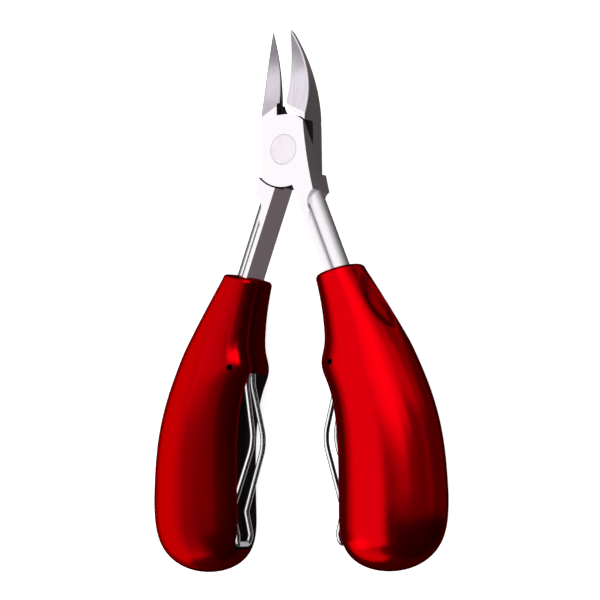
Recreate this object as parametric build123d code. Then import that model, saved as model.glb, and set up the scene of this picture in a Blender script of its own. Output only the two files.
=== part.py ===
"""Toenail nipper: two lapped steel halves on a flush rivet, moulded handles and hooked wire springs.

Frame, in millimetres: Z is the pivot axis, +Y points to the jaw tips and +X to the right handle.
The origin is where the pivot axis meets the rear joint face, and the jaws are drawn open.
Every piece is drawn about the joint's middle plane, z = 0 here, and lifted to the frame on export.
"""
from build123d import *
from math import atan2, copysign, cos, pi, radians, sin, sqrt, tan
import os

# Steel halves: a lap joint between a cutting jaw and a tang
head_thickness = 9.8
head_half_width = 7.8
lap_radius = 11.5
lap_top_radius = 11.0
lap_gap = 0.10
shoulder_clearance = 0.5
lap_right_top = 7.1
shoulder_corner = (10.3, -13.0)
shoulder_bow = 0.45
lap_corner_relief = 7.5
lap_corner_depth = 2.4
shoulder_scoop_bow = 1.3

# Jaws, sized in the closed position, where both cutting edges lie on X = 0
opening_angle = 9.3
edge_gap = 0.04
jaw_tip_y = 36.8
jaw_tip_width = 0.25
jaw_root_y = 10.0
jaw_root_width = 7.0
jaw_belly = (5.5, 24.0)
bevel_start_y = 14.2
bevel_hollow = 1.8
bevel_tilt = 8.0
edge_relief = 26.0
jaw_back_rise = 8.3
jaw_back_bulge = 0.45
heel_notch_x = 2.2
heel_notch_y = 14.4
heel_notch_depth = 2.4
heel_notch_overlap = 0.3
throat_radius = 3.1
throat_inset = (0.1, 0.4)
throat_overlap = 1.0
heel_radius = 3.8
heel_corner_room = 1.0
jaw_root_overlap = 3.0

# Tangs: a flat inner plate with a round bar along its outer side, leaning from the centre line
tang_lean = 21.8
tang_root_x = 3.0
tang_strip = 1.0
tang_roll_width = 1.78
tang_bar_radius = 2.95
tang_bar_center = 3.15
tang_root_y = -11.1
tang_root_overlap = 0.5
tang_end_y = -60.0
scoop_end_y = -19.4
scoop_strip = 2.4
scoop_foot_y = -23.2

# Pivot rivet, countersunk on both faces
rivet_radius = 3.0
rivet_head_radius = 4.7
rivet_head_depth = 1.7
rivet_rim_chamfer = 0.15
rivet_clearance = 0.03

# Handles: stations of (y, inner x, outer x, half thickness), joined by a smooth skin
handle_stations = [
    (-20.0, 4.6, 13.0, 5.2),
    (-27.0, 6.4, 17.6, 5.8),
    (-34.0, 8.2, 22.2, 6.4),
    (-41.0, 10.0, 27.0, 6.9),
    (-48.0, 11.7, 31.7, 7.7),
    (-55.0, 12.8, 36.2, 8.6),
    (-61.0, 12.8, 39.8, 9.3),
    (-66.0, 11.9, 42.3, 9.8),
    (-72.0, 14.0, 44.9, 10.1),
    (-80.0, 16.2, 47.7, 10.3),
    (-92.0, 17.2, 50.2, 10.3),
    (-105.0, 17.2, 51.2, 10.2),
]
handle_end_y = -127.8
end_shares = (0.38, 0.64, 0.82, 0.93, 0.985)
end_fullness = 3.6
section_points = 24
inner_fullness = 3.0
handle_end_x = 32.1
rim_point = (8.5, -39.8)
rim_tilt = 13.5
rim_rounding = 1.4
tang_fit = 0.05
thumb_dish_length_radius = 32.0
thumb_dish_width_radius = 9.0
thumb_dish_depth = 1.7
thumb_dish_turn = 22.0

# Springs of round wire, parked in a channel in the handle's inner face
pin_center = (17.8, -65.8)
pin_radius = 1.0
pin_recess = 1.2
wire_radius = 0.85
eye_clearance = 0.05
eye_half_spacing = 1.2
neck = (16.45, -70.5, 1.7)
bow_corner = (13.2, -88.5, 3.1)
lower_bend = (20.8, -109.4, 4.0)
foot = (19.1, -116.6, 3.7)
crossbar = (19.6, -119.3, 3.1)
neck_bend_radius = 12.0
bow_bend_radius = 15.0
lower_bend_radius = 2.5
foot_bend_radius = 1.5
crossbar_bend_radius = 1.4
rest_swing = 2.6
channel_side_gap = 0.4
channel_floor_gap = 0.8
channel_mouth_y = -69.0
channel_mouth_rise = 1.5

# How far cutting tools run past what they cut
cut_past = 1.0
past_everything = 40.0

# Values that follow from the ones above
half_thickness = head_thickness / 2
half_opening = opening_angle / 2
eye_radius = pin_radius + eye_clearance + wire_radius
channel_half_width = lower_bend[2] + wire_radius + channel_side_gap


def tang_inner_x(y):
    """X of the flat inner side of the right tang at a given y."""
    return tang_root_x + (tang_root_y - y) * tan(radians(tang_lean))


def on_lap_circle(x, side):
    """Point of the lap's edge at x: its lower arc (side -1) or its tighter upper arc (side 1)."""
    radius = lap_top_radius if side > 0 else lap_radius
    return (x, side * sqrt(radius**2 - x**2))


def prism(wires, low, high):
    """Solid between two levels over the closed outline that the wires make."""
    return Pos(0, 0, low) * extrude(make_face(Curve() + wires), high - low)


def joint_plate():
    """Front half's plate: the front lap, the jaw's root and the shoulder of the right tang."""
    inner_x = tang_inner_x(tang_root_y)
    lower_left = on_lap_circle(-head_half_width, -1)
    tang_start = on_lap_circle(inner_x, -1)
    lap_bottom = (0, -lap_radius)
    level_share = cos(radians(tang_lean))
    foot_inner = (tang_inner_x(scoop_foot_y), scoop_foot_y)
    foot_outer = (foot_inner[0] + tang_strip / level_share, scoop_foot_y)
    scoop_end = (tang_inner_x(scoop_end_y) + scoop_strip / level_share, scoop_end_y)
    top_right = on_lap_circle(lap_right_top, 1)
    bow_x = (shoulder_corner[0] + top_right[0]) / 2 - shoulder_bow
    bow_y = (shoulder_corner[1] + top_right[1]) / 2
    jaw_side = on_lap_circle(-head_half_width, 1)
    scoop_mid_x = (scoop_end[0] + shoulder_corner[0]) / 2 - shoulder_scoop_bow
    scoop_mid = (scoop_mid_x, (scoop_end[1] + shoulder_corner[1]) / 2)
    outline = [
        ThreePointArc(lower_left, lap_bottom, tang_start),
        Line(tang_start, foot_inner),
        Line(foot_inner, foot_outer),
        Line(foot_outer, scoop_end),
        ThreePointArc(scoop_end, scoop_mid, shoulder_corner),
        ThreePointArc(shoulder_corner, (bow_x, bow_y), top_right),
        ThreePointArc(top_right, (0, lap_top_radius), jaw_side),
        Line(jaw_side, lower_left),
    ]
    return prism(outline, -half_thickness, half_thickness)


def lap_recess():
    """Round pocket behind the front lap, where the other half's lap turns."""
    depth = half_thickness + lap_gap / 2 + cut_past
    pocket = Cylinder(lap_top_radius + shoulder_clearance, depth)
    wide = Cylinder(lap_radius + shoulder_clearance, depth)
    below = Pos(0, -lap_radius, 0) * Box(4 * lap_radius, 2 * lap_radius, depth)
    return Pos(0, 0, lap_gap / 2 - depth / 2) * (pocket + (wide & below))


def lap_corner_cut():
    """Wedge off the upper right corner of the front lap, on the side facing the rear lap."""
    top_y = on_lap_circle(lap_right_top - lap_corner_depth, 1)[1]
    foot_y = on_lap_circle(lap_right_top, 1)[1] - lap_corner_relief
    wedge = [
        Line((foot_y, 0), (lap_radius, 0)),
        Line((lap_radius, 0), (lap_radius, half_thickness)),
        Line((lap_radius, half_thickness), (top_y, half_thickness)),
        Line((top_y, half_thickness), (foot_y, 0)),
    ]
    profile = Plane.YZ * make_face(Curve() + wedge)
    return Pos(lap_right_top - lap_corner_depth, 0, 0) * extrude(profile, lap_radius)


def bevel_arc():
    """Hollow front line of the jaw in the YZ plane: it carries the cutting edge to the tip."""
    middle_y = (bevel_start_y + jaw_tip_y) / 2
    start = (0, bevel_start_y, half_thickness)
    middle = (0, middle_y, half_thickness - bevel_hollow)
    end = (0, jaw_tip_y, half_thickness)
    return ThreePointArc(start, middle, end)


def edge_profile(level):
    """Face in the YZ plane between the hollow line, run on straight at both ends, and a level."""
    arc = bevel_arc()
    run_on = 8.0
    low_end = arc @ 0 - (arc % 0) * run_on
    high_end = arc @ 1 + (arc % 1) * run_on
    low_corner = Vector(0, low_end.Y, level)
    high_corner = Vector(0, high_end.Y, level)
    sides = [
        Line(low_end, arc @ 0),
        arc,
        Line(arc @ 1, high_end),
        Line(high_end, high_corner),
        Line(high_corner, low_corner),
        Line(low_corner, low_end),
    ]
    return make_face(Curve() + sides)


def closed_jaw():
    """Left jaw in the closed position, before its heel is shaped."""
    root = (-jaw_root_width, jaw_root_y)
    belly = (-jaw_belly[0], jaw_belly[1])
    tip = (-jaw_tip_width, jaw_tip_y)
    overlap_y = jaw_root_y - jaw_root_overlap
    outline = [
        ThreePointArc(root, belly, tip),
        Line(tip, (-edge_gap / 2, jaw_tip_y)),
        Line((-edge_gap / 2, jaw_tip_y), (-edge_gap / 2, overlap_y)),
        Line((-edge_gap / 2, overlap_y), (-jaw_root_width, overlap_y)),
        Line((-jaw_root_width, overlap_y), root),
    ]
    jaw = prism(outline, -half_thickness, half_thickness)
    reach = past_everything
    outward = (-cos(radians(bevel_tilt)), 0, -sin(radians(bevel_tilt)))
    backward = (-sin(radians(edge_relief)), 0, -cos(radians(edge_relief)))
    front = extrude(edge_profile(reach), reach, dir=outward)
    relief = extrude(Pos(-edge_gap / 2, 0, 0) * edge_profile(-reach), reach, dir=backward)
    back_end_z = jaw_back_rise - half_thickness
    back_mid = ((jaw_root_y + jaw_tip_y) / 2, (back_end_z - half_thickness) / 2 - jaw_back_bulge)
    back_start = (jaw_root_y, -half_thickness)
    back_end = (jaw_tip_y, back_end_z)
    back_sides = [
        ThreePointArc(back_start, back_mid, back_end),
        Line(back_end, (jaw_tip_y + cut_past, back_end_z)),
        Line((jaw_tip_y + cut_past, back_end_z), (jaw_tip_y + cut_past, -reach)),
        Line((jaw_tip_y + cut_past, -reach), (jaw_root_y, -reach)),
        Line((jaw_root_y, -reach), back_start),
    ]
    back = extrude(Plane.YZ * make_face(Curve() + back_sides), reach, both=True)
    return jaw - front - relief - back


def throat_web():
    """Concave web that joins the left jaw to the front lap below the heel notch."""
    center = (throat_radius - heel_notch_x + throat_inset[0], heel_notch_y - throat_inset[1])
    low = lap_gap / 2
    high = half_thickness - heel_notch_depth
    foot_y = center[1] - throat_radius - throat_overlap
    block = [
        Line((-jaw_root_width, foot_y), (center[0], foot_y)),
        Line((center[0], foot_y), (center[0], center[1])),
        Line((center[0], center[1]), (-jaw_root_width, center[1])),
        Line((-jaw_root_width, center[1]), (-jaw_root_width, foot_y)),
    ]
    web = prism(block, low, high)
    return web - Pos(*center, 0) * Cylinder(throat_radius, head_thickness)


def heel_notch():
    """Square pocket that ends the left cutting edge above the joint."""
    low = half_thickness - heel_notch_depth
    height = heel_notch_y - lap_top_radius + heel_notch_overlap
    width = 2 * heel_notch_x
    center = (-heel_notch_x + width / 2, heel_notch_y - height / 2, low + head_thickness / 2)
    return Pos(*center) * Box(width, height, head_thickness)


def heel_rounding():
    """Corner taken off the right jaw's heel in the closed position, outside its round."""
    size = heel_radius + heel_corner_room
    center_y = lap_radius + heel_radius
    corner = Pos(heel_radius - size / 2, center_y - size / 2, 0) * Box(size, size, 2 * head_thickness)
    return corner - Pos(heel_radius, center_y, 0) * Cylinder(heel_radius, 2 * head_thickness)


def right_tang(clearance=0.0):
    """Plate with a round bar along its outer side, grown by a clearance for its socket."""
    lean = radians(tang_lean)
    start_y = tang_root_y + tang_root_overlap
    length = (start_y - tang_end_y) / cos(lean)
    top = half_thickness + clearance
    bar = tang_bar_radius + clearance
    roll = tang_roll_width + clearance
    valley_x = tang_strip + roll
    valley_z = sqrt(bar**2 - (valley_x - tang_bar_center) ** 2)
    lower_roll = EllipticalCenterArc((tang_strip, -valley_z), roll, top - valley_z, start_angle=-90, arc_size=90)
    upper_roll = EllipticalCenterArc((tang_strip, valley_z), roll, top - valley_z, start_angle=0, arc_size=90)
    profile = [
        Line((tang_strip, top), (-clearance, top)),
        Line((-clearance, top), (-clearance, -top)),
        Line((-clearance, -top), (tang_strip, -top)),
        lower_roll,
        ThreePointArc((valley_x, -valley_z), (tang_bar_center + bar, 0), (valley_x, valley_z)),
        upper_roll,
    ]
    along = (sin(lean), -cos(lean), 0)
    across = (cos(lean), sin(lean), 0)
    start = Plane(origin=(tang_inner_x(start_y), start_y, 0), x_dir=across, z_dir=along)
    return extrude(start * make_face(Curve() + profile), length)


def rivet_form(clearance=0.0):
    """Countersunk rivet between the outer faces, grown by a clearance for the hole it turns in."""
    shaft = rivet_radius + clearance
    head = rivet_head_radius + clearance
    neck = half_thickness - rivet_head_depth
    top = half_thickness
    points = [(0, -top), (head, -top), (shaft, -neck), (shaft, neck), (head, top), (0, top)]
    return revolve(Plane.XZ * make_face(Polyline(*points, close=True)), Axis.Z, 360)


def pivot_rivet():
    """Rivet with its rims broken, so that each head shows as a fine ring."""
    body = rivet_form()
    rims = body.edges().filter_by(GeomType.CIRCLE).filter_by(lambda rim: rim.radius > rivet_radius + 0.1)
    return chamfer(rims, rivet_rim_chamfer)


def front_half():
    """Left jaw, front lap and right tang."""
    body = joint_plate() + Rot(0, 0, half_opening) * closed_jaw() + right_tang()
    body = body - lap_recess() - lap_corner_cut() - heel_notch() + throat_web()
    return body - rivet_form()


def rear_half():
    """Right jaw, rear lap and left tang."""
    jaw = mirror(closed_jaw(), Plane.YZ) - heel_rounding()
    turned_plate = Rot(0, 180, 0) * (joint_plate() - lap_recess() - lap_corner_cut())
    left_tang = mirror(right_tang(), Plane.YZ)
    turned_recess = Rot(0, 180, 0) * lap_recess()
    body = turned_plate + (Rot(0, 0, -half_opening) * jaw - turned_recess) + (left_tang - turned_recess)
    return body - rivet_form(rivet_clearance)


def handle_section(y, inner, outer, half):
    """Closed section of the handle: full and flatter on the inner side, elliptical on the outer."""
    middle = (inner + outer) / 2
    reach = (outer - inner) / 2
    points = []
    for step in range(section_points):
        angle = 2 * pi * step / section_points
        power = 1.0 if cos(angle) >= 0 else 2 / inner_fullness
        x = middle + reach * copysign(abs(cos(angle)) ** power, cos(angle))
        z = half * copysign(abs(sin(angle)) ** power, sin(angle))
        points.append((x, y, z))
    return make_face(Spline(points, periodic=True))


def handle_skin():
    """Closed outer shape of the right handle, from above its rim to its round end."""
    last_y, last_in, last_out, last_half = handle_stations[-1]
    end_length = last_y - handle_end_y
    middle = (last_in + last_out) / 2
    sections = list(handle_stations)
    for share in end_shares:
        size = sqrt(1 - share**end_fullness)
        center = middle + share**2 * (handle_end_x - middle)
        half_width = (last_out - last_in) / 2 * size
        y = last_y - share * end_length
        sections.append((y, center - half_width, center + half_width, last_half * size))
    return loft([handle_section(*section) for section in sections])


def rim_cut():
    """Block above the handle's tilted rim."""
    size = 2 * past_everything
    return Pos(*rim_point, 0) * Rot(0, 0, rim_tilt) * Pos(0, past_everything, 0) * Box(size, size, size)


def spring_channel():
    """Pocket round the pin's middle and channel along the inner face for the parked spring."""
    pin_x, pin_y = pin_center
    room = eye_radius + wire_radius + channel_floor_gap
    floor_x = pin_x + room
    low_floor = lower_bend[0] + wire_radius + channel_floor_gap
    end_floor = crossbar[0] + wire_radius + channel_floor_gap
    end_y = crossbar[1] - wire_radius - channel_floor_gap
    sides = [
        ThreePointArc((pin_x - room, pin_y), (pin_x, pin_y + room), (floor_x, pin_y)),
        Line((floor_x, pin_y), (low_floor, lower_bend[1])),
        Line((low_floor, lower_bend[1]), (end_floor, end_y)),
        Line((end_floor, end_y), (0, end_y)),
        Line((0, end_y), (0, channel_mouth_y)),
        Line((0, channel_mouth_y), (pin_x - room, channel_mouth_y + channel_mouth_rise)),
        Line((pin_x - room, channel_mouth_y + channel_mouth_rise), (pin_x - room, pin_y)),
    ]
    return prism(sides, -channel_half_width, channel_half_width)


def thumb_dish():
    """Long shallow dish on the handle's outer side, turned a little to one face: part of a ring."""
    before, here, after = handle_stations[3:6]
    slope = (after[2] - before[2]) / (before[0] - after[0])
    turn = radians(thumb_dish_turn)
    level = Vector(1, slope, 0).normalized()
    outward = level * cos(turn) + Vector(0, 0, sin(turn))
    along = Vector(slope, -1, 0).normalized()
    reach = (here[2] - here[1]) / 2
    place = atan2(here[3] * sin(turn), reach * cos(turn))
    skin_point = Vector((here[1] + here[2]) / 2 + reach * cos(place), here[0], here[3] * sin(place))
    center = skin_point + outward * (thumb_dish_length_radius - thumb_dish_depth)
    ring = Torus(thumb_dish_length_radius - thumb_dish_width_radius, thumb_dish_width_radius)
    return Plane(origin=center, x_dir=outward, z_dir=outward.cross(along)) * ring


def right_handle():
    """Moulded handle with its tang socket, spring channel, pin hole and thumb dish."""
    handle = handle_skin() - rim_cut()
    rim = handle.faces().sort_by(Axis.Y)[-1]
    handle = fillet(rim.edges(), rim_rounding) - thumb_dish()
    handle = handle - right_tang(tang_fit) - spring_channel()
    return handle - Pos(*pin_center, 0) * Cylinder(pin_radius, past_everything)


def parked_spring():
    """Hairpin of round wire: two bowed legs, a crossbar at the foot and an eye round the pin on each."""
    pin_x, pin_y = pin_center
    leg = [(pin_x - eye_radius, pin_y, eye_half_spacing), neck, bow_corner, lower_bend, foot, crossbar]
    other_leg = [(x, y, -z) for x, y, z in reversed(leg)]
    bends = [neck_bend_radius, bow_bend_radius, lower_bend_radius, foot_bend_radius, crossbar_bend_radius]
    path = FilletPolyline(*leg, *other_leg, radius=bends + bends[::-1])
    start = Plane(origin=path @ 0, z_dir=path % 0)
    wire = sweep(start * Circle(wire_radius), path)
    eyes = [Pos(pin_x, pin_y, side * eye_half_spacing) * Torus(eye_radius, wire_radius) for side in (1, -1)]
    return wire + eyes


def right_spring():
    """The spring swung a little out of its channel on its pin."""
    return Pos(*pin_center, 0) * Rot(0, 0, -rest_swing) * Pos(-pin_center[0], -pin_center[1], 0) * parked_spring()


def right_spring_pin():
    """Pin through the spring's eyes, its ends below the handle's surface."""
    length = 2 * (channel_half_width + pin_recess)
    return Pos(*pin_center, 0) * Cylinder(pin_radius, length)


def save(node, shape):
    """Write one node, lifted so that the rear joint face lies on z = 0."""
    export_step(Pos(0, 0, half_thickness) * shape, f"parts/{node}.step")


os.makedirs("parts", exist_ok=True)
save("front_half", front_half())
save("rear_half", rear_half())
save("pivot_rivet", pivot_rivet())
save("right_spring", right_spring())
save("left_spring", Rot(0, 180, 0) * parked_spring())
for part, build in (("handle", right_handle), ("spring_pin", right_spring_pin)):
    piece = build()
    save(f"right_{part}", piece)
    save(f"left_{part}", Rot(0, 180, 0) * piece)
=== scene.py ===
"""Looks of a plier-type toenail nipper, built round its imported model.

Frame, in metres: Z is the pivot axis out of the front joint face, +Y points to the jaw tips and
+X to the right handle. The nipper lies on its back with its jaws open.
"""
from math import atan2, cos, pi, radians, sin, sqrt, tan

import bmesh
import bpy
import numpy as np
from mathutils import Matrix, Vector


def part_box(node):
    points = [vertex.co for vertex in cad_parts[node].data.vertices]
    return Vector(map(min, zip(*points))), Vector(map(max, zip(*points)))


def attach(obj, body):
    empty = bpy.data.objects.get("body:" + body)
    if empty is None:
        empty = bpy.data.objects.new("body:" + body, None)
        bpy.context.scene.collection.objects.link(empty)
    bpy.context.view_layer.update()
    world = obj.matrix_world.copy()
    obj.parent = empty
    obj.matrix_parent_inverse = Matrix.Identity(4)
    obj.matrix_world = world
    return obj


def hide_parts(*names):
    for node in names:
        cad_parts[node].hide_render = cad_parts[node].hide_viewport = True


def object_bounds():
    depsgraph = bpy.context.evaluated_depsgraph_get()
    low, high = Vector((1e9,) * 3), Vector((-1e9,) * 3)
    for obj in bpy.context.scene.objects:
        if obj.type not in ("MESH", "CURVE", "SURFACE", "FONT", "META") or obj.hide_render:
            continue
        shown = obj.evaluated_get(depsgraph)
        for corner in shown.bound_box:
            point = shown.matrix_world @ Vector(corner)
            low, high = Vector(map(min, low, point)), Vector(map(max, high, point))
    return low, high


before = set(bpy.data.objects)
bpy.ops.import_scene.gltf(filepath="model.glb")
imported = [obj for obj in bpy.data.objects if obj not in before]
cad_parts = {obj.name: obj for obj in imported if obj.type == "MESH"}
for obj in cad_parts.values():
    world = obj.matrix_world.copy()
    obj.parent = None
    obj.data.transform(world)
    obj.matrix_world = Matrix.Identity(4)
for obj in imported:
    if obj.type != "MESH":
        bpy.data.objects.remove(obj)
cad_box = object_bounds()


# ---- Steel halves -------------------------------------------------------------------------------
# Each half is one drop forging in stainless tool steel: a ground cutting jaw, half of the lap
# joint and a tang. The flats and shoulders are polished, and the jaws' front bevels are ground
# along their length, which leaves a fine straight grain.
MM = 0.001
JOINT_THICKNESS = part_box("front_half")[1].z
MIDDLE_Z = JOINT_THICKNESS / 2


def node_links(name):
    """New material of that name with an empty node tree: the material, its nodes and its links."""
    material = bpy.data.materials.new(name)
    material.use_nodes = True
    material.node_tree.nodes.clear()
    return material, material.node_tree.nodes, material.node_tree.links


def put(nodes, kind, **settings):
    """Adds a node and sets its properties, or its input sockets where the name has no property."""
    node = nodes.new(kind)
    for key, value in settings.items():
        if hasattr(node, key):
            setattr(node, key, value)
        else:
            node.inputs[key.replace("_", " ")].default_value = value
    return node


def polished_steel():
    """Bright stainless: near mirror, with faint lapping streaks that vary its roughness."""
    material, nodes, links = node_links("polished_steel")
    output = put(nodes, "ShaderNodeOutputMaterial")
    shader = put(nodes, "ShaderNodeBsdfPrincipled", Metallic=1.0)
    shader.inputs["Base Color"].default_value = (0.93, 0.89, 0.93, 1)
    place = put(nodes, "ShaderNodeTexCoord")
    stretch = put(nodes, "ShaderNodeMapping")
    stretch.inputs["Scale"].default_value = (6000, 300, 3000)
    streaks = put(nodes, "ShaderNodeTexNoise", Scale=1.0, Detail=4.0)
    gloss = put(nodes, "ShaderNodeMapRange")
    gloss.inputs["To Min"].default_value, gloss.inputs["To Max"].default_value = 0.13, 0.22
    bump = put(nodes, "ShaderNodeBump", Strength=0.02, Distance=0.00002)
    links.new(place.outputs["Object"], stretch.inputs["Vector"])
    links.new(stretch.outputs["Vector"], streaks.inputs["Vector"])
    links.new(streaks.outputs["Fac"], gloss.inputs["Value"])
    links.new(gloss.outputs["Result"], shader.inputs["Roughness"])
    links.new(streaks.outputs["Fac"], bump.inputs["Height"])
    links.new(bump.outputs["Normal"], shader.inputs["Normal"])
    links.new(shader.outputs["BSDF"], output.inputs["Surface"])
    return material


def painted_joint_shade():
    """Lap faces coloured near black: painted shade for the joint's recesses, seams and heel notch.
    """
    material, nodes, links = node_links("painted_joint_shade")
    output = put(nodes, "ShaderNodeOutputMaterial")
    shader = put(nodes, "ShaderNodeBsdfPrincipled", Metallic=0.3, Roughness=0.7)
    place = put(nodes, "ShaderNodeTexCoord")
    blotch = put(nodes, "ShaderNodeTexNoise", Scale=900.0, Detail=3.0)
    tone = put(nodes, "ShaderNodeMix", data_type="RGBA")
    tone.inputs["A"].default_value = (0.004, 0.004, 0.004, 1)
    tone.inputs["B"].default_value = (0.012, 0.010, 0.010, 1)
    links.new(place.outputs["Object"], blotch.inputs["Vector"])
    links.new(blotch.outputs["Fac"], tone.inputs["Factor"])
    links.new(tone.outputs["Result"], shader.inputs["Base Color"])
    links.new(shader.outputs["BSDF"], output.inputs["Surface"])
    return material


# Along the jaws, from where the painted shade on the ground steel starts to where it is darkest
PAINTED_TIP_SHADE, PAINTED_TIP_SHADE_DRIFT = (24.0 * MM, 34.0 * MM), 6.0 * MM


def ground_steel():
    """Jaw bevels: a straight grain along the jaw, and painted shade darkening them towards the
    tips, its start wandering in patches.
    """
    material, nodes, links = node_links("ground_steel")
    output = put(nodes, "ShaderNodeOutputMaterial")
    shader = put(nodes, "ShaderNodeBsdfPrincipled", Metallic=1.0)
    place = put(nodes, "ShaderNodeTexCoord")
    split = put(nodes, "ShaderNodeSeparateXYZ")
    stretch = put(nodes, "ShaderNodeMapping")
    stretch.inputs["Scale"].default_value = (3200, 130, 130)
    grain = put(nodes, "ShaderNodeTexNoise", Scale=1.0, Detail=5.0, Roughness=0.65)
    patches = put(nodes, "ShaderNodeTexNoise", Scale=260.0, Detail=2.0)
    drifted = put(nodes, "ShaderNodeMath", operation="MULTIPLY_ADD")
    drifted.inputs[1].default_value = PAINTED_TIP_SHADE_DRIFT
    cloud = put(nodes, "ShaderNodeMapRange", interpolation_type="SMOOTHSTEP")
    cloud.inputs["From Min"].default_value, cloud.inputs["From Max"].default_value = PAINTED_TIP_SHADE
    # Painted shade: the light tone near the joint turns to the dark tone towards the tips
    tone = put(nodes, "ShaderNodeMix", data_type="RGBA")
    tone.inputs["A"].default_value = (0.80, 0.74, 0.82, 1)
    tone.inputs["B"].default_value = (0.30, 0.265, 0.30, 1)
    lines = put(nodes, "ShaderNodeMapRange")
    lines.inputs["From Min"].default_value, lines.inputs["From Max"].default_value = 0.35, 0.65
    lines.inputs["To Min"].default_value, lines.inputs["To Max"].default_value = 0.0, 0.42
    streaked = put(nodes, "ShaderNodeMix", data_type="RGBA")
    streaked.inputs["B"].default_value = (0.42, 0.38, 0.43, 1)
    gloss = put(nodes, "ShaderNodeMapRange")
    gloss.inputs["To Min"].default_value, gloss.inputs["To Max"].default_value = 0.22, 0.38
    bump = put(nodes, "ShaderNodeBump", Strength=0.12, Distance=0.00004)
    links.new(place.outputs["Object"], split.inputs["Vector"])
    links.new(place.outputs["Object"], stretch.inputs["Vector"])
    links.new(place.outputs["Object"], patches.inputs["Vector"])
    links.new(stretch.outputs["Vector"], grain.inputs["Vector"])
    links.new(patches.outputs["Fac"], drifted.inputs[0])
    links.new(split.outputs["Y"], drifted.inputs[2])
    links.new(drifted.outputs["Value"], cloud.inputs["Value"])
    links.new(cloud.outputs["Result"], tone.inputs["Factor"])
    links.new(grain.outputs["Fac"], lines.inputs["Value"])
    links.new(lines.outputs["Result"], streaked.inputs["Factor"])
    links.new(tone.outputs["Result"], streaked.inputs["A"])
    links.new(streaked.outputs["Result"], shader.inputs["Base Color"])
    links.new(grain.outputs["Fac"], gloss.inputs["Value"])
    links.new(gloss.outputs["Result"], shader.inputs["Roughness"])
    links.new(grain.outputs["Fac"], bump.inputs["Height"])
    links.new(bump.outputs["Normal"], shader.inputs["Normal"])
    links.new(shader.outputs["BSDF"], output.inputs["Surface"])
    return material


def placed(name, data):
    """New object with that mesh, lamp or camera, added to the scene."""
    thing = bpy.data.objects.new(name, data)
    bpy.context.scene.collection.objects.link(thing)
    return thing


# The second finish is painted shade, for the joint's recesses and seams
POLISHED, PAINTED_SHADE, GROUND = 0, 1, 2  # the finishes' places in each half's list
MERGE_REACH, FLAT_TURN = 0.001 * MM, radians(0.5)
EDGE_BREAK, BREAK_STEPS, BREAK_TURN = 0.16 * MM, 2, radians(32)
CRISP_TURN = radians(28)


def dressed_copy(node, name):
    """Merged copy of a CAD node, its sharp edges broken by a narrow bevel.

    Facets that turn by less than FLAT_TURN become one face, edges that turn by more than
    BREAK_TURN are broken, and edges past CRISP_TURN stay crisp in the shading.
    """
    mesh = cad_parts[node].data.copy()
    piece = placed(name, mesh)
    shape = bmesh.new()
    shape.from_mesh(mesh)
    bmesh.ops.remove_doubles(shape, verts=shape.verts, dist=MERGE_REACH)
    bmesh.ops.dissolve_limit(shape, angle_limit=FLAT_TURN, verts=shape.verts, edges=shape.edges)
    shape.to_mesh(mesh)
    shape.free()
    bevel = piece.modifiers.new("edge_break", "BEVEL")
    bevel.width, bevel.segments = EDGE_BREAK, BREAK_STEPS
    bevel.limit_method, bevel.angle_limit = "ANGLE", BREAK_TURN
    bevel.material = POLISHED
    mesh.shade_smooth()
    mesh.set_sharp_from_angle(angle=CRISP_TURN)
    even = piece.modifiers.new("even_shading", "WEIGHTED_NORMAL")
    even.keep_sharp = True
    return piece


def face_values(mesh, kind):
    """Each face's center or normal, as rows of x, y and z."""
    values = np.empty(len(mesh.polygons) * 3)
    mesh.polygons.foreach_get(kind, values)
    return values.reshape(-1, 3)


# Where on a half each finish lies. A slant is a range of the normal's z, SQUARE_ON is the least
# that a normal has along what its face looks at, and UPRIGHT is the most z that it has on a wall.
SQUARE_ON, UPRIGHT = 0.9, 0.3
SEAM_RADIUS, LAP_RADIUS, LAP_RIM, LAP_LEVEL = 10.6 * MM, 12.4 * MM, 2.0 * MM, 0.6 * MM
CORNER_SLANT, CORNER_SIDE, CORNER_TOP = (-0.95, -0.2), 9.0 * MM, 0.9 * JOINT_THICKNESS
NOTCH_SIDE, NOTCH_HEIGHT, NOTCH_SKIN = 3.2 * MM, (10.0 * MM, 15.2 * MM), 0.2 * MM
BEVEL_SLANT, BEVEL_START = (0.85, 0.99999), 13.4 * MM


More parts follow.
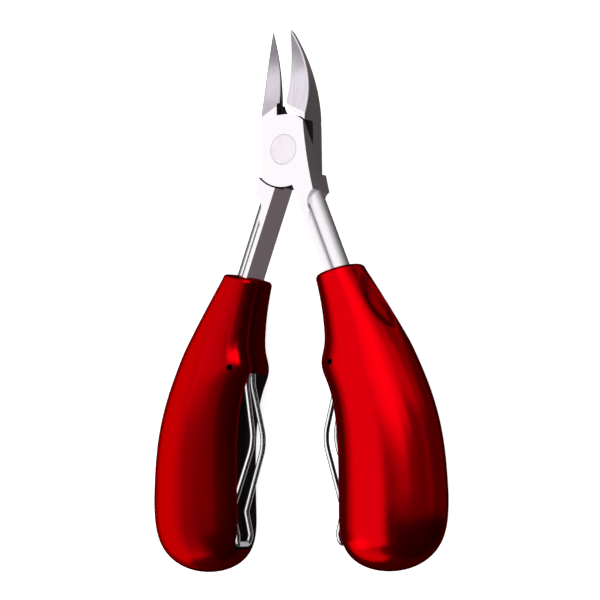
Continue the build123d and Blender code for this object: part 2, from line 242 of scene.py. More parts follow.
def face_finish(mesh):
    """Finish of each face: polished, painted shade inside the joint, or ground on the jaws'
    bevels.

    Painted shade lies on the lap's level faces near its middle plane, on the upright walls round
    it, on its slanted corner and in the heel notch, where the joint lies in shade. Bevels face
    forward, off level, beyond BEVEL_START.
    """
    centers, normals = face_values(mesh, "center"), face_values(mesh, "normal")
    x, y, z = centers.T
    forward = normals[:, 2]
    from_axis = np.hypot(x, y)
    radial = np.abs(x * normals[:, 0] + y * normals[:, 1]) / np.maximum(from_axis, MM)
    lap = (np.abs(forward) > SQUARE_ON) & (np.abs(z - MIDDLE_Z) < LAP_LEVEL)
    lap &= from_axis < LAP_RADIUS + LAP_RIM
    wall = (np.abs(forward) < UPRIGHT) & (radial > SQUARE_ON)
    wall &= (from_axis > SEAM_RADIUS) & (from_axis < LAP_RADIUS)
    corner = (forward > CORNER_SLANT[0]) & (forward < CORNER_SLANT[1]) & (z < CORNER_TOP)
    corner &= (np.abs(x) < CORNER_SIDE) & (y > 0) & (from_axis < LAP_RADIUS)
    notch = (np.abs(x) < NOTCH_SIDE) & (y > NOTCH_HEIGHT[0]) & (y < NOTCH_HEIGHT[1])
    notch &= (z > MIDDLE_Z - LAP_LEVEL) & (z < JOINT_THICKNESS - NOTCH_SKIN)
    bevel = (forward > BEVEL_SLANT[0]) & (forward < BEVEL_SLANT[1])
    bevel &= (from_axis > BEVEL_START) & (y > 0)
    # Faces where the joint lies in shade take the painted shade
    shade_painted = np.where(lap | wall | corner | notch, PAINTED_SHADE, POLISHED)
    return np.where(bevel, GROUND, shade_painted).astype(np.int32)


BORDER_WIDTH, BORDER_STEPS, BORDER_UPRIGHT = 0.45 * MM, 3, 0.5


def jaw_border(piece, finish):
    """Rounds each jaw's outer edge, between its ground bevel and its side, wider than the rest.

    An edge is on the border where a ground face meets a side face that looks away from the
    middle plane between the jaws.
    """
    mesh = piece.data
    centers, normals = face_values(mesh, "center"), face_values(mesh, "normal")
    outer = (np.abs(normals[:, 2]) < BORDER_UPRIGHT) & (normals[:, 0] * centers[:, 0] > 0)
    corners = np.empty(len(mesh.polygons), dtype=np.int32)
    mesh.polygons.foreach_get("loop_total", corners)
    face_of = np.repeat(np.arange(len(corners)), corners)
    edge_of = np.empty(len(mesh.loops), dtype=np.int32)
    mesh.loops.foreach_get("edge_index", edge_of)
    meets = np.zeros((2, len(mesh.edges)), dtype=bool)
    meets[0, edge_of[(finish == GROUND)[face_of]]] = True
    meets[1, edge_of[outer[face_of]]] = True
    weight = mesh.attributes.new("bevel_weight_edge", "FLOAT", "EDGE")
    weight.data.foreach_set("value", meets.all(axis=0).astype(np.float32))
    border = piece.modifiers.new("border", "BEVEL")
    border.width, border.segments = BORDER_WIDTH, BORDER_STEPS
    border.limit_method, border.material = "WEIGHT", POLISHED
    piece.modifiers.move(len(piece.modifiers) - 1, 0)


# The second of these is painted shade for the joint's recesses and seams
half_finishes = (polished_steel(), painted_joint_shade(), ground_steel())
for node, body in (("front_half", "front_side"), ("rear_half", "rear_side")):
    half = dressed_copy(node, f"{node}_finished")
    half.data.materials.clear()
    for material in half_finishes:
        half.data.materials.append(material)
    finish = face_finish(half.data)
    half.data.polygons.foreach_set("material_index", finish)
    jaw_border(half, finish)
    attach(half, body)
    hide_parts(node)


# ---- Pivot rivet --------------------------------------------------------------------------------
# A solid steel rivet, peened into countersinks on both faces and ground flush, so that only a
# fine ring shows. Its heads keep the turned rings of the facing cut.
RIVET_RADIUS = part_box("pivot_rivet")[1].x
RIM_LINE = (RIVET_RADIUS - 0.5 * MM, RIVET_RADIUS - 0.05 * MM)
RING_SCALE = 5200.0


def faced_rivet():
    """Bright steel with faint rings about the pivot axis and a thin duller line at the rim."""
    material, nodes, links = node_links("faced_rivet")
    output = put(nodes, "ShaderNodeOutputMaterial")
    shader = put(nodes, "ShaderNodeBsdfPrincipled", Metallic=1.0)
    place = put(nodes, "ShaderNodeTexCoord")
    flatten = put(nodes, "ShaderNodeMapping")
    flatten.inputs["Scale"].default_value = (1, 1, 0)
    radius = put(nodes, "ShaderNodeVectorMath", operation="LENGTH")
    along = put(nodes, "ShaderNodeMath", operation="MULTIPLY")
    along.inputs[1].default_value = RING_SCALE
    rings = put(nodes, "ShaderNodeTexNoise", noise_dimensions="1D", Scale=1.0, Detail=2.0)
    rim = put(nodes, "ShaderNodeMapRange", interpolation_type="SMOOTHSTEP")
    rim.inputs["From Min"].default_value, rim.inputs["From Max"].default_value = RIM_LINE
    blotch = put(nodes, "ShaderNodeTexNoise", Scale=420.0, Detail=3.0)
    tone = put(nodes, "ShaderNodeMix", data_type="RGBA")
    tone.inputs["A"].default_value = (0.94, 0.88, 0.93, 1)
    tone.inputs["B"].default_value = (0.80, 0.74, 0.80, 1)
    edged = put(nodes, "ShaderNodeMix", data_type="RGBA")
    edged.inputs["B"].default_value = (0.72, 0.67, 0.72, 1)
    gloss = put(nodes, "ShaderNodeMapRange")
    gloss.inputs["To Min"].default_value, gloss.inputs["To Max"].default_value = 0.14, 0.30
    links.new(place.outputs["Object"], flatten.inputs["Vector"])
    links.new(flatten.outputs["Vector"], radius.inputs[0])
    links.new(radius.outputs["Value"], along.inputs[0])
    links.new(along.outputs["Value"], rings.inputs["W"])
    links.new(radius.outputs["Value"], rim.inputs["Value"])
    links.new(place.outputs["Object"], blotch.inputs["Vector"])
    links.new(blotch.outputs["Fac"], tone.inputs["Factor"])
    links.new(tone.outputs["Result"], edged.inputs["A"])
    links.new(rim.outputs["Result"], edged.inputs["Factor"])
    links.new(edged.outputs["Result"], shader.inputs["Base Color"])
    links.new(rings.outputs["Fac"], gloss.inputs["Value"])
    links.new(gloss.outputs["Result"], shader.inputs["Roughness"])
    links.new(shader.outputs["BSDF"], output.inputs["Surface"])
    return material


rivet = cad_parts["pivot_rivet"]
rivet.data.materials.clear()
rivet.data.materials.append(faced_rivet())


# ---- Handles ------------------------------------------------------------------------------------
# Each handle is one plastic moulding, pressed over its tang. It is sprayed in a metallic red, and
# the channel for the parked spring is coloured near black as painted shade. Its inner side is
# fuller than its outer side, and a cross hole takes the spring's pin.
STATIONS = np.array([  # y, inner x, outer x and half thickness, from the rim down
    (-20.0, 4.6, 13.0, 5.2),
    (-27.0, 6.4, 17.6, 5.8),
    (-34.0, 8.2, 22.2, 6.4),
    (-41.0, 10.0, 27.0, 6.9),
    (-48.0, 11.7, 31.7, 7.7),
    (-55.0, 12.8, 36.2, 8.6),
    (-61.0, 12.8, 39.8, 9.3),
    (-66.0, 11.9, 42.3, 9.8),
    (-72.0, 14.0, 44.9, 10.1),
    (-80.0, 16.2, 47.7, 10.3),
    (-92.0, 17.2, 50.2, 10.3),
    (-105.0, 17.2, 51.2, 10.2),
]) * MM
END_Y, END_X, END_FULLNESS = -127.8 * MM, 32.1 * MM, 3.6
INNER_FULLNESS = 3.0


def smooth_line(y, known_y, known_value):
    """Natural cubic spline through the known values, read at y; known_y falls along the handle."""
    t, v = -known_y, known_value
    gap = np.diff(t)
    slope = np.diff(v) / gap
    size = len(t)
    system = np.eye(size)
    right = np.zeros(size)
    rows = np.arange(1, size - 1)
    system[rows, rows - 1] = gap[:-1]
    system[rows, rows] = 2 * (gap[:-1] + gap[1:])
    system[rows, rows + 1] = gap[1:]
    right[rows] = 6 * np.diff(slope)
    curvature = np.linalg.solve(system, right)
    at = np.clip(-y, t[0], t[-1])
    span = np.clip(np.searchsorted(t, at) - 1, 0, size - 2)
    left, over = at - t[span], t[span + 1] - at
    bend = (curvature[span] * over**3 + curvature[span + 1] * left**3) / (6 * gap[span])
    low = (v[span] / gap[span] - curvature[span] * gap[span] / 6) * over
    high = (v[span + 1] / gap[span] - curvature[span + 1] * gap[span] / 6) * left
    return bend + low + high


def handle_outline(y):
    """Inner x, outer x and half thickness at y: the stations' spline, then a full rounded end.

    Past the last station every measure shrinks by sqrt(1 - share^END_FULLNESS), where share is
    how far y has come from that station to END_Y, while the middle drifts to END_X.
    """
    last = STATIONS[-1]
    body = [smooth_line(y, STATIONS[:, 0], STATIONS[:, column]) for column in (1, 2, 3)]
    share = np.clip((last[0] - y) / (last[0] - END_Y), 0, 1)
    size = np.sqrt(np.clip(1 - share**END_FULLNESS, 0, 1))
    middle = (last[1] + last[2]) / 2 + share**2 * (END_X - (last[1] + last[2]) / 2)
    half_width = (last[2] - last[1]) / 2 * size
    past = y < last[0]
    inner = np.where(past, middle - half_width, body[0])
    outer = np.where(past, middle + half_width, body[1])
    return inner, outer, np.where(past, last[3] * size, body[2])


DISH_STATION, DISH_LENGTH_RADIUS, DISH_WIDTH_RADIUS = 4, 32.0 * MM, 9.0 * MM
DISH_DEPTH, DISH_TURN, DISH_SOFT = 1.7 * MM, radians(22.0), 0.5 * MM


def thumb_dish(points):
    """Presses the thumb's dish into the outer side, with a soft edge.

    Height is measured along the dish's outward direction, from the skin at the dish's middle. It
    becomes the soft minimum of itself and the dish's floor, which is
    -depth + across^2 / (2 * width radius) + along^2 / (2 * length radius).
    """
    before, here, after = STATIONS[DISH_STATION - 1:DISH_STATION + 2]
    slope = (after[2] - before[2]) / (before[0] - after[0])
    level = np.array([1, slope, 0]) / sqrt(1 + slope**2)
    outward = level * cos(DISH_TURN) + np.array([0, 0, sin(DISH_TURN)])
    along = np.array([slope, -1, 0]) / sqrt(1 + slope**2)
    reach = (here[2] - here[1]) / 2
    place = atan2(here[3] * sin(DISH_TURN), reach * cos(DISH_TURN))
    skin = np.array([(here[1] + here[2]) / 2 + reach * cos(place), here[0], here[3] * sin(place)])
    height = (points - skin) @ outward
    down = (points - skin) @ along
    across = (points - skin) @ np.cross(outward, along)
    floor = -DISH_DEPTH + across**2 / (2 * DISH_WIDTH_RADIUS) + down**2 / (2 * DISH_LENGTH_RADIUS)
    share = np.clip(0.5 + 0.5 * (height - floor) / DISH_SOFT, 0, 1)
    pressed = height + (floor - height) * share - DISH_SOFT * share * (1 - share)
    return points + (pressed - height)[..., None] * outward


RIM_POINT, RIM_TILT = (8.5 * MM, -39.8 * MM), radians(13.5)
RIM_ROUND, RIM_DOME, RIM_PASSES = 1.4 * MM, 0.5 * MM, 6
END_ROWS, END_REACH = 0.25, 0.1125


def handle_surface(around=220, along=300, rounding=10, cap=14):
    """Grid of points from the handle's end to its rim and over the rim to the tang.

    Side: x = middle + reach * sgn(cos u)|cos u|^p and z = half * sgn(sin u)|sin u|^p, where p is
    1 on the outer side and 2 / fullness on the inner side. The first END_ROWS of the rows rise as
    their square to END_REACH of the way up, and the rest rise evenly. The side stops RIM_ROUND
    below the tilted rim, found in RIM_PASSES passes, and the rim turns a quarter circle, then
    domes inward.
    """
    u = np.linspace(0, 2 * pi, around, endpoint=False)[None, :]
    power = np.where(np.cos(u) >= 0, 1.0, 2 / INNER_FULLNESS)
    ring_x = np.sign(np.cos(u)) * np.abs(np.cos(u)) ** power
    ring_z = np.sign(np.sin(u)) * np.abs(np.sin(u)) ** power
    s = np.linspace(0, 1, along)[:, None]
    steady = END_REACH + (s - END_ROWS) * (1 - END_REACH) / (1 - END_ROWS)
    rise = np.where(s < END_ROWS, END_REACH * (s / END_ROWS) ** 2, steady)
    top_y = np.full((1, around), RIM_POINT[1])
    for _ in range(RIM_PASSES):
        inner, outer, _half = handle_outline(top_y)
        x_top = (inner + outer) / 2 + (outer - inner) / 2 * ring_x
        top_y = RIM_POINT[1] + (x_top - RIM_POINT[0]) * tan(RIM_TILT) - RIM_ROUND
    y = END_Y + rise * (top_y - END_Y)
    inner, outer, half = handle_outline(y)
    x = (inner + outer) / 2 + (outer - inner) / 2 * ring_x
    side = thumb_dish(np.stack([x, y, half * ring_z], axis=-1))
    edge = side[-1]
    center = np.array([edge[:, 0].mean(), edge[:, 1].mean(), 0])
    up = np.array([-sin(RIM_TILT), cos(RIM_TILT), 0])
    outward = edge - center
    width = np.linalg.norm(outward, axis=1, keepdims=True)
    turn = np.linspace(0, pi / 2, rounding)[1:, None, None]
    shrink = 1 - RIM_ROUND / width * (1 - np.cos(turn))
    corner = center + outward * shrink + up * RIM_ROUND * np.sin(turn)
    k = np.linspace(1, 0, cap)[1:, None, None]
    dome = up * (RIM_ROUND + RIM_DOME * (1 - k**2))
    flat = center + (corner[-1] - center - up * RIM_ROUND) * k + dome
    return np.concatenate([side, corner, flat])


POLE_MERGE = 0.0001 * MM


def closed_piece(name, points, faces):
    """New piece over the points: doubles merged and all faces turned outwards."""
    mesh = bpy.data.meshes.new(name)
    mesh.from_pydata(points.tolist(), [], faces)
    shape = bmesh.new()
    shape.from_mesh(mesh)
    bmesh.ops.remove_doubles(shape, verts=shape.verts, dist=POLE_MERGE)
    bmesh.ops.recalc_face_normals(shape, faces=shape.faces)
    shape.to_mesh(mesh)
    shape.free()
    return placed(name, mesh)


def grid_piece(name, points):
    """Smooth quads between rings of points; a ring that has shrunk to a point becomes one."""
    rows, columns = points.shape[:2]
    here = np.arange(rows * columns).reshape(rows, columns)
    ahead = np.roll(here, -1, axis=1)
    quads = np.stack([here[:-1], ahead[:-1], ahead[1:], here[1:]], axis=-1)
    piece = closed_piece(name, points.reshape(-1, 3), quads.reshape(-1, 4).tolist())
    piece.data.shade_smooth()
    return piece


def prism_tool(name, outline, low, high):
    """Upright block over a closed outline of (x, y) points, for cutting."""
    count = len(outline)
    rings = [np.column_stack([outline, np.full(count, z)]) for z in (low, high)]
    around = np.arange(count)
    ahead = np.roll(around, -1)
    walls = np.stack([around, ahead, ahead + count, around + count], axis=-1).tolist()
    ends = [list(range(count))[::-1], list(range(count, 2 * count))]
    return closed_piece(name, np.concatenate(rings), walls + ends)


def cut(piece, tools):
    """Takes the tools out of a piece for good and removes them."""
    for tool in tools:
        step = piece.modifiers.new("cut", "BOOLEAN")
        step.object = tool
        step.operation = "DIFFERENCE"
        step.solver = "EXACT"
    graph = bpy.context.evaluated_depsgraph_get()
    mesh = bpy.data.meshes.new_from_object(piece.evaluated_get(graph))
    piece.modifiers.clear()
    piece.data = mesh
    for tool in tools:
        bpy.data.objects.remove(tool)


PIN_X, PIN_Y, PIN_RADIUS, PIN_STEPS = 17.8 * MM, -65.8 * MM, 1.0 * MM, 32
HOLE_REACH = 20.0 * MM
CHANNEL_HALF_WIDTH = 5.25 * MM
CHANNEL_ROUND, CHANNEL_STEPS = 3.55 * MM, 16
CHANNEL_BEND = (22.45 * MM, -109.4 * MM)
CHANNEL_FOOT = (21.25 * MM, -120.95 * MM)
CHANNEL_MOUTH_Y, CHANNEL_MOUTH_RISE = -69.0 * MM, 1.5 * MM


def round_pin(radius, angles):
    """Points (x, y) round the right handle's pin: its center plus radius * (cos, sin) of angle."""
    return np.column_stack([PIN_X + radius * np.cos(angles), PIN_Y + radius * np.sin(angles)])


channel_top = round_pin(CHANNEL_ROUND, np.linspace(pi, 0, CHANNEL_STEPS + 1))
channel_corners = [
    CHANNEL_BEND, CHANNEL_FOOT, (0.0, CHANNEL_FOOT[1]), (0.0, CHANNEL_MOUTH_Y),
    (PIN_X - CHANNEL_ROUND, CHANNEL_MOUTH_Y + CHANNEL_MOUTH_RISE),
]
channel_outline = np.concatenate([channel_top, channel_corners])
hole_outline = round_pin(PIN_RADIUS, np.linspace(0, 2 * pi, PIN_STEPS, endpoint=False))


def red_metallic():
    """Sprayed metallic red under a hard gloss: fine flake under a smooth, slightly soft mirror."""
    material, nodes, links = node_links("red_metallic")
    output = put(nodes, "ShaderNodeOutputMaterial")
    shader = put(nodes, "ShaderNodeBsdfPrincipled", Metallic=1.0)
    shader.inputs["Base Color"].default_value = (0.62, 0.0, 0.003, 1)
    shader.inputs["Specular Tint"].default_value = (0.7, 0.0, 0.005, 1)
    place = put(nodes, "ShaderNodeTexCoord")
    flake = put(nodes, "ShaderNodeTexNoise", Scale=9000.0, Detail=1.0)
    gloss = put(nodes, "ShaderNodeMapRange")
    gloss.inputs["To Min"].default_value, gloss.inputs["To Max"].default_value = 0.18, 0.25
    links.new(place.outputs["Object"], flake.inputs["Vector"])
    links.new(flake.outputs["Fac"], gloss.inputs["Value"])
    links.new(gloss.outputs["Result"], shader.inputs["Roughness"])
    links.new(shader.outputs["BSDF"], output.inputs["Surface"])
    return material


def painted_channel_shade():
    """Near-black plastic with a slight mottle: painted shade inside the spring's channel."""
    material, nodes, links = node_links("painted_channel_shade")
    output = put(nodes, "ShaderNodeOutputMaterial")
    shader = put(nodes, "ShaderNodeBsdfPrincipled", Roughness=0.75, Specular_IOR_Level=0.15)
    place = put(nodes, "ShaderNodeTexCoord")
    mottle = put(nodes, "ShaderNodeTexNoise", Scale=2000.0, Detail=2.0)
    tone = put(nodes, "ShaderNodeMix", data_type="RGBA")
    tone.inputs["A"].default_value = (0.004, 0.001, 0.001, 1)
    tone.inputs["B"].default_value = (0.010, 0.002, 0.002, 1)
    links.new(place.outputs["Object"], mottle.inputs["Vector"])
    links.new(mottle.outputs["Fac"], tone.inputs["Factor"])
    links.new(tone.outputs["Result"], shader.inputs["Base Color"])
    links.new(shader.outputs["BSDF"], output.inputs["Surface"])
    return material


WALL_SLACK, BOTTOM_SLACK = 0.01 * MM, 0.1 * MM


def channel_faces(mesh, sign):
    """1 for each face inside the spring's channel, which takes the painted shade, 0 for the
    sprayed skin.

    A face is inside where its center lies within the channel's outline and width, or on its
    walls, and not on the skin above the mouth.
    """
    x, y, z = face_values(mesh, "center").T
    x = sign * x
    inside = np.abs(z - MIDDLE_Z) < CHANNEL_HALF_WIDTH + WALL_SLACK
    inside &= (y < PIN_Y + CHANNEL_ROUND) & (y > CHANNEL_FOOT[1] - WALL_SLACK)
    inside &= x < CHANNEL_BEND[0] + BOTTOM_SLACK
    above_mouth = (y > CHANNEL_MOUTH_Y) & (x < PIN_X - CHANNEL_ROUND - WALL_SLACK)
    return (inside & ~above_mouth).astype(np.int32)


SKIN_CRISP_TURN = radians(35)
# The second finish is painted shade for the spring's channel
skin_finishes = (red_metallic(), painted_channel_shade())
channel_sides = (MIDDLE_Z - CHANNEL_HALF_WIDTH, MIDDLE_Z + CHANNEL_HALF_WIDTH)
for side, sign, body in (("right", 1, "front_side"), ("left", -1, "rear_side")):
    points = handle_surface() * np.array([sign, 1, sign]) + np.array([0, 0, MIDDLE_Z])
    handle = grid_piece(f"{side}_handle_moulding", points)
    channel = prism_tool("channel", channel_outline * (sign, 1), *channel_sides)
    hole = prism_tool("hole", hole_outline * (sign, 1), -HOLE_REACH, HOLE_REACH)
    cut(handle, [channel, hole])
    handle.data.set_sharp_from_angle(angle=SKIN_CRISP_TURN)
    handle.data.materials.clear()
    for material in skin_finishes:
        handle.data.materials.append(material)
    handle.data.polygons.foreach_set("material_index", channel_faces(handle.data, sign))
    handle.visible_glossy = False
    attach(handle, body)
    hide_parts(f"{side}_handle")


# ---- Springs and pins ---------------------------------------------------------------------------
# Each spring is one length of bright drawn stainless wire, bent double, and it swings on a steel
# pin pressed through the handle. The pins are left black from hardening, and sit below the skin.
def drawn_wire():
    """Bright wire with long faint die lines that vary its gloss."""
    material, nodes, links = node_links("drawn_wire")
    output = put(nodes, "ShaderNodeOutputMaterial")
    shader = put(nodes, "ShaderNodeBsdfPrincipled", Metallic=1.0)
    shader.inputs["Base Color"].default_value = (0.93, 0.92, 0.94, 1)
    place = put(nodes, "ShaderNodeTexCoord")
    stretch = put(nodes, "ShaderNodeMapping")
    stretch.inputs["Scale"].default_value = (5000, 250, 5000)
    lines = put(nodes, "ShaderNodeTexNoise", Scale=1.0, Detail=2.0)
    gloss = put(nodes, "ShaderNodeMapRange")
    gloss.inputs["To Min"].default_value, gloss.inputs["To Max"].default_value = 0.08, 0.2
    links.new(place.outputs["Object"], stretch.inputs["Vector"])
    links.new(stretch.outputs["Vector"], lines.inputs["Vector"])
    links.new(lines.outputs["Fac"], gloss.inputs["Value"])
    links.new(gloss.outputs["Result"], shader.inputs["Roughness"])
    links.new(shader.outputs["BSDF"], output.inputs["Surface"])
    return material


def black_pin_steel():
    """Hardened pin with its black scale left on, mottled by handling."""
    material, nodes, links = node_links("black_pin_steel")
    output = put(nodes, "ShaderNodeOutputMaterial")
    shader = put(nodes, "ShaderNodeBsdfPrincipled", Metallic=0.6, Roughness=0.55)
    place = put(nodes, "ShaderNodeTexCoord")
    mottle = put(nodes, "ShaderNodeTexNoise", Scale=1500.0, Detail=3.0)
    tone = put(nodes, "ShaderNodeMix", data_type="RGBA")
    tone.inputs["A"].default_value = (0.006, 0.005, 0.005, 1)
    tone.inputs["B"].default_value = (0.025, 0.020, 0.020, 1)
    links.new(place.outputs["Object"], mottle.inputs["Vector"])
    links.new(mottle.outputs["Fac"], tone.inputs["Factor"])
    links.new(tone.outputs["Result"], shader.inputs["Base Color"])
    links.new(shader.outputs["BSDF"], output.inputs["Surface"])
    return material


for finish, kind in ((drawn_wire(), "spring"), (black_pin_steel(), "spring_pin")):
    for side in ("right", "left"):
        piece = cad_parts[f"{side}_{kind}"]
        piece.data.materials.clear()
        piece.data.materials.append(finish)


# ---- Floor, light and camera --------------------------------------------------------------------
# A pale table top in a bright even surround, which gloss sees as nearly black. What gloss picks up
# is soft boxes, each of which lights only its own pieces. The camera looks across the joint from
# the right handle's side.
FLOOR_GAP, FLOOR_REACH = 0.2 * MM, 3.0
FLOOR_Z = cad_box[0].z - FLOOR_GAP


def pale_table():
    """Matt white board, glowing a little so that it stays even under the tool."""
    material, nodes, links = node_links("pale_table")
    output = put(nodes, "ShaderNodeOutputMaterial")
    shader = put(nodes, "ShaderNodeBsdfPrincipled", Roughness=0.9)
    shader.inputs["Base Color"].default_value = (0.9, 0.9, 0.9, 1)
    shader.inputs["Emission Color"].default_value = (1, 1, 1, 1)
    shader.inputs["Emission Strength"].default_value = 0.75
    links.new(shader.outputs["BSDF"], output.inputs["Surface"])
    return material


floor_corners = ((-1, -1), (1, -1), (1, 1), (-1, 1))
floor_mesh = bpy.data.meshes.new("floor")
floor_mesh.from_pydata(
    [(FLOOR_REACH * x, FLOOR_REACH * y, FLOOR_Z) for x, y in floor_corners], [], [(0, 1, 2, 3)]
)
floor = placed("floor", floor_mesh)
floor_mesh.materials.append(pale_table())
floor.visible_glossy = False

# Surround that gloss sees, in degrees round the tool's length axis from +X over the top:
# (angle, brightness)
gloss_bands = [
    (-180, 0.05), (-140, 0.05), (-105, 0.05), (-75, 0.05), (-50, 0.03), (-28, 0.006),
    (60, 0.003), (90, 0.005), (104, 0.02), (125, 0.05), (155, 0.05), (179, 0.05),
]
world = bpy.data.worlds.new("studio")
bpy.context.scene.world = world
world.use_nodes = True
nodes, links = world.node_tree.nodes, world.node_tree.links
nodes.clear()
output = put(nodes, "ShaderNodeOutputWorld")
surround = put(nodes, "ShaderNodeBackground", Strength=1.05)
surround.inputs["Color"].default_value = (1, 1, 1, 1)
place = put(nodes, "ShaderNodeTexCoord")
split = put(nodes, "ShaderNodeSeparateXYZ")
angle = put(nodes, "ShaderNodeMath", operation="ARCTAN2")
turn_share = put(nodes, "ShaderNodeMapRange")
turn_share.inputs["From Min"].default_value = -pi
turn_share.inputs["From Max"].default_value = pi
bands = put(nodes, "ShaderNodeValToRGB")
ramp = bands.color_ramp
ramp.interpolation = "EASE"
STOPS_AT_START = 2  # a new ramp's own
for number, (degrees_round, brightness) in enumerate(gloss_bands):
    position = (degrees_round + 180) / 360
    stop = ramp.elements[number] if number < STOPS_AT_START else ramp.elements.new(position)
    stop.position = position
    stop.color = (brightness, brightness, brightness, 1)
seen_by_gloss = put(nodes, "ShaderNodeBackground", Strength=1.0)
path = put(nodes, "ShaderNodeLightPath")
mix = put(nodes, "ShaderNodeMixShader")
links.new(place.outputs["Generated"], split.inputs["Vector"])
links.new(split.outputs["Z"], angle.inputs[0])
links.new(split.outputs["X"], angle.inputs[1])
links.new(angle.outputs["Value"], turn_share.inputs["Value"])
links.new(turn_share.outputs["Result"], bands.inputs["Fac"])
links.new(bands.outputs["Color"], seen_by_gloss.inputs["Color"])
links.new(path.outputs["Is Glossy Ray"], mix.inputs["Fac"])
links.new(surround.outputs["Background"], mix.inputs[1])
links.new(seen_by_gloss.outputs["Background"], mix.inputs[2])
links.new(mix.outputs["Shader"], output.inputs["Surface"])

BOX_DISTANCE = 1.2


def soft_box(name, middle, half_span, foot, top, brightness, tint, lit):
    """Soft box that faces the tool's length axis and lights only the pieces in lit.

    It stands BOX_DISTANCE off, at an angle round that axis in degrees from +X over the top, spans
    half_span degrees either way, and reaches from foot to top along the axis, in metres. Its
    power is its brightness times its area times pi.
    """
    lamp = bpy.data.lights.new(name, "AREA")
    lamp.shape = "RECTANGLE"
    lamp.size = 2 * BOX_DISTANCE * tan(radians(half_span))
    lamp.size_y = top - foot
    lamp.energy = brightness * lamp.size * lamp.size_y * pi
    lamp.color = tint
    box = placed(name, lamp)
    out = Vector((cos(radians(middle)), 0, sin(radians(middle))))
    side = Vector((0, 1, 0)).cross(out)
    spot = out * BOX_DISTANCE + Vector((0, (foot + top) / 2, 0))
    box.matrix_world = Matrix((
        (side.x, 0, out.x, spot.x),
        (side.y, 1, out.y, spot.y),
        (side.z, 0, out.z, spot.z),
        (0, 0, 0, 1),
    ))
    box.visible_camera = False
    group = bpy.data.collections.new(f"{name}_pieces")
    for piece in lit:
        group.objects.link(piece)
    box.light_linking.receiver_collection = group


# The soft boxes: (middle, half span, foot, top, brightness), as soft_box takes them
right_handle_boxes = [
    (125, 16, -0.9, 1.0, 1.12), (147, 6, -0.9, 1.0, 0.45), (148, 20, -2.5, -0.55, 0.95),
    (90, 18, 0.0, 1.7, 1.5), (65, 7, 0.15, 1.4, 1.1), (42, 16, 0.45, 1.7, 0.6),
    (10, 16, 0.5, 1.7, 0.28), (-35, 25, 1.0, 2.4, 0.35), (55, 38, -0.3, 1.0, 0.15),
    (-15, 45, -0.3, 1.0, 0.10), (90, 40, 1.9, 4.0, 0.5),
]
left_handle_boxes = [
    (201, 12, -1.5, 1.0, 0.26), (166, 23, -1.5, 1.0, 0.83), (138, 5, -1.5, 1.0, 0.62),
    (129, 4, -1.5, 1.0, 0.34), (121, 4, -1.5, 1.0, 0.12), (106, 11, -0.4, 1.0, 0.15),
    (86, 9, -0.4, 1.0, 0.02), (122, 12, 0.03, 1.0, 0.54), (100, 10, 0.08, 1.0, 0.28),
    (78, 20, 0.3, 1.2, 2.4), (90, 40, 1.9, 4.0, 0.5),
]
spring_boxes = [
    (110, 34, -1.0, 1.0, 1.05), (-80, 28, -1.2, 0.8, 0.35), (90, 45, -4.0, -1.2, 0.7),
    (90, 45, 1.2, 4.0, 0.7),
]
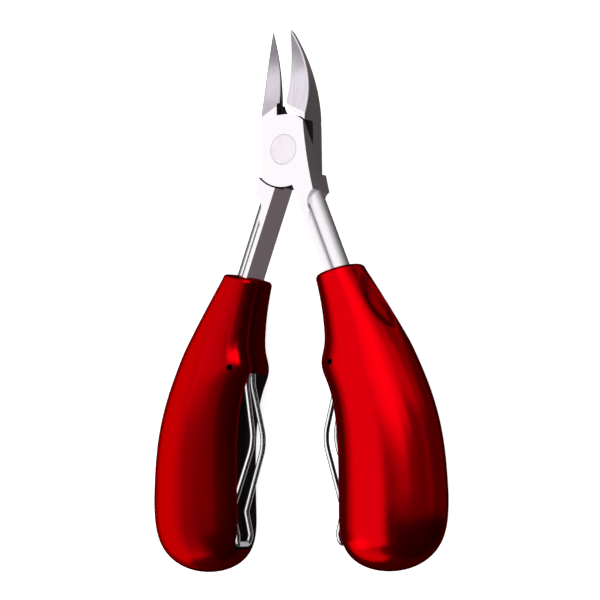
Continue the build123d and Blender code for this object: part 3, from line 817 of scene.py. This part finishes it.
# The steel's boxes stand edge to edge, dimmer the lower they stand, so that round steel shades
# evenly. Those below the tool are tinted, like light thrown back by the handles.
steel_boxes = [
    (90, 45, -4.5, -1.6, 0.7), (90, 45, 2.6, 4.5, 0.6), (178, 12, -1.5, 2.5, 0.12),
    (158, 8, -1.5, 2.5, 0.20), (143, 7, -1.5, 0.15, 0.40), (144, 8, 0.15, 2.5, 0.99),
    (112, 24, -1.5, 2.5, 0.99), (75, 13, -1.5, 2.5, 0.98), (49, 13, -1.5, 2.5, 0.80),
    (24, 12, -1.5, 2.5, 0.56), (0, 12, -1.5, 2.5, 0.38), (-28, 16, -1.5, 2.5, 0.20),
]
low_steel_boxes = [
    (-64, 20, 0.45, 2.5, 0.07), (-64, 20, -0.08, 0.45, 0.035), (-64, 20, -1.5, -0.08, 0.10),
]
WHITE, ROSE = (1.0, 1.0, 1.0), (1.0, 0.74, 0.78)
right_skin = [bpy.data.objects["right_handle_moulding"]]
left_skin = [bpy.data.objects["left_handle_moulding"]]
wires = [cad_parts["right_spring"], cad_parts["left_spring"]]
steel = [bpy.data.objects[f"{node}_finished"] for node in ("front_half", "rear_half")] + [rivet]
for kind, boxes, tint, lit in (
    ("right_handle", right_handle_boxes, WHITE, right_skin),
    ("left_handle", left_handle_boxes, WHITE, left_skin),
    ("springs", spring_boxes, WHITE, wires),
    ("steel", steel_boxes, WHITE, steel),
    ("steel_low", low_steel_boxes, ROSE, steel),
):
    for number, box in enumerate(boxes):
        soft_box(f"{kind}_box_{number}", *box, tint, lit)

# Camera: turned by YAW to the right and PITCH up from the pivot axis, DISTANCE off, FRAME_WIDTH
# wide at the joint, and aimed at a point so far right of and below the joint
YAW, PITCH, ROLL = radians(32.0), radians(-5.6), radians(0.8)
DISTANCE, FRAME_WIDTH = 0.725, 183.5 * MM
AIM_RIGHT, AIM_DOWN = 2.50 * MM, 45.47 * MM
SENSOR_WIDTH, NEAR_LIMIT = 36.0, 0.01

toward = Vector((sin(YAW) * cos(PITCH), sin(PITCH), cos(YAW) * cos(PITCH)))
level = Vector((cos(YAW), 0, -sin(YAW)))
upright = toward.cross(level)
right = level * cos(ROLL) - upright * sin(ROLL)
above = upright * cos(ROLL) + level * sin(ROLL)
target = Vector((0, 0, MIDDLE_Z)) + right * AIM_RIGHT - above * AIM_DOWN
camera_data = bpy.data.cameras.new("camera")
camera_data.sensor_width = SENSOR_WIDTH
camera_data.lens = SENSOR_WIDTH * DISTANCE / FRAME_WIDTH
camera_data.clip_start = NEAR_LIMIT
camera = placed("camera", camera_data)
camera.matrix_world = Matrix((
    (right.x, above.x, toward.x, target.x + toward.x * DISTANCE),
    (right.y, above.y, toward.y, target.y + toward.y * DISTANCE),
    (right.z, above.z, toward.z, target.z + toward.z * DISTANCE),
    (0, 0, 0, 1),
))
bpy.context.scene.camera = camera
bpy.context.scene.view_settings.view_transform = "Standard"
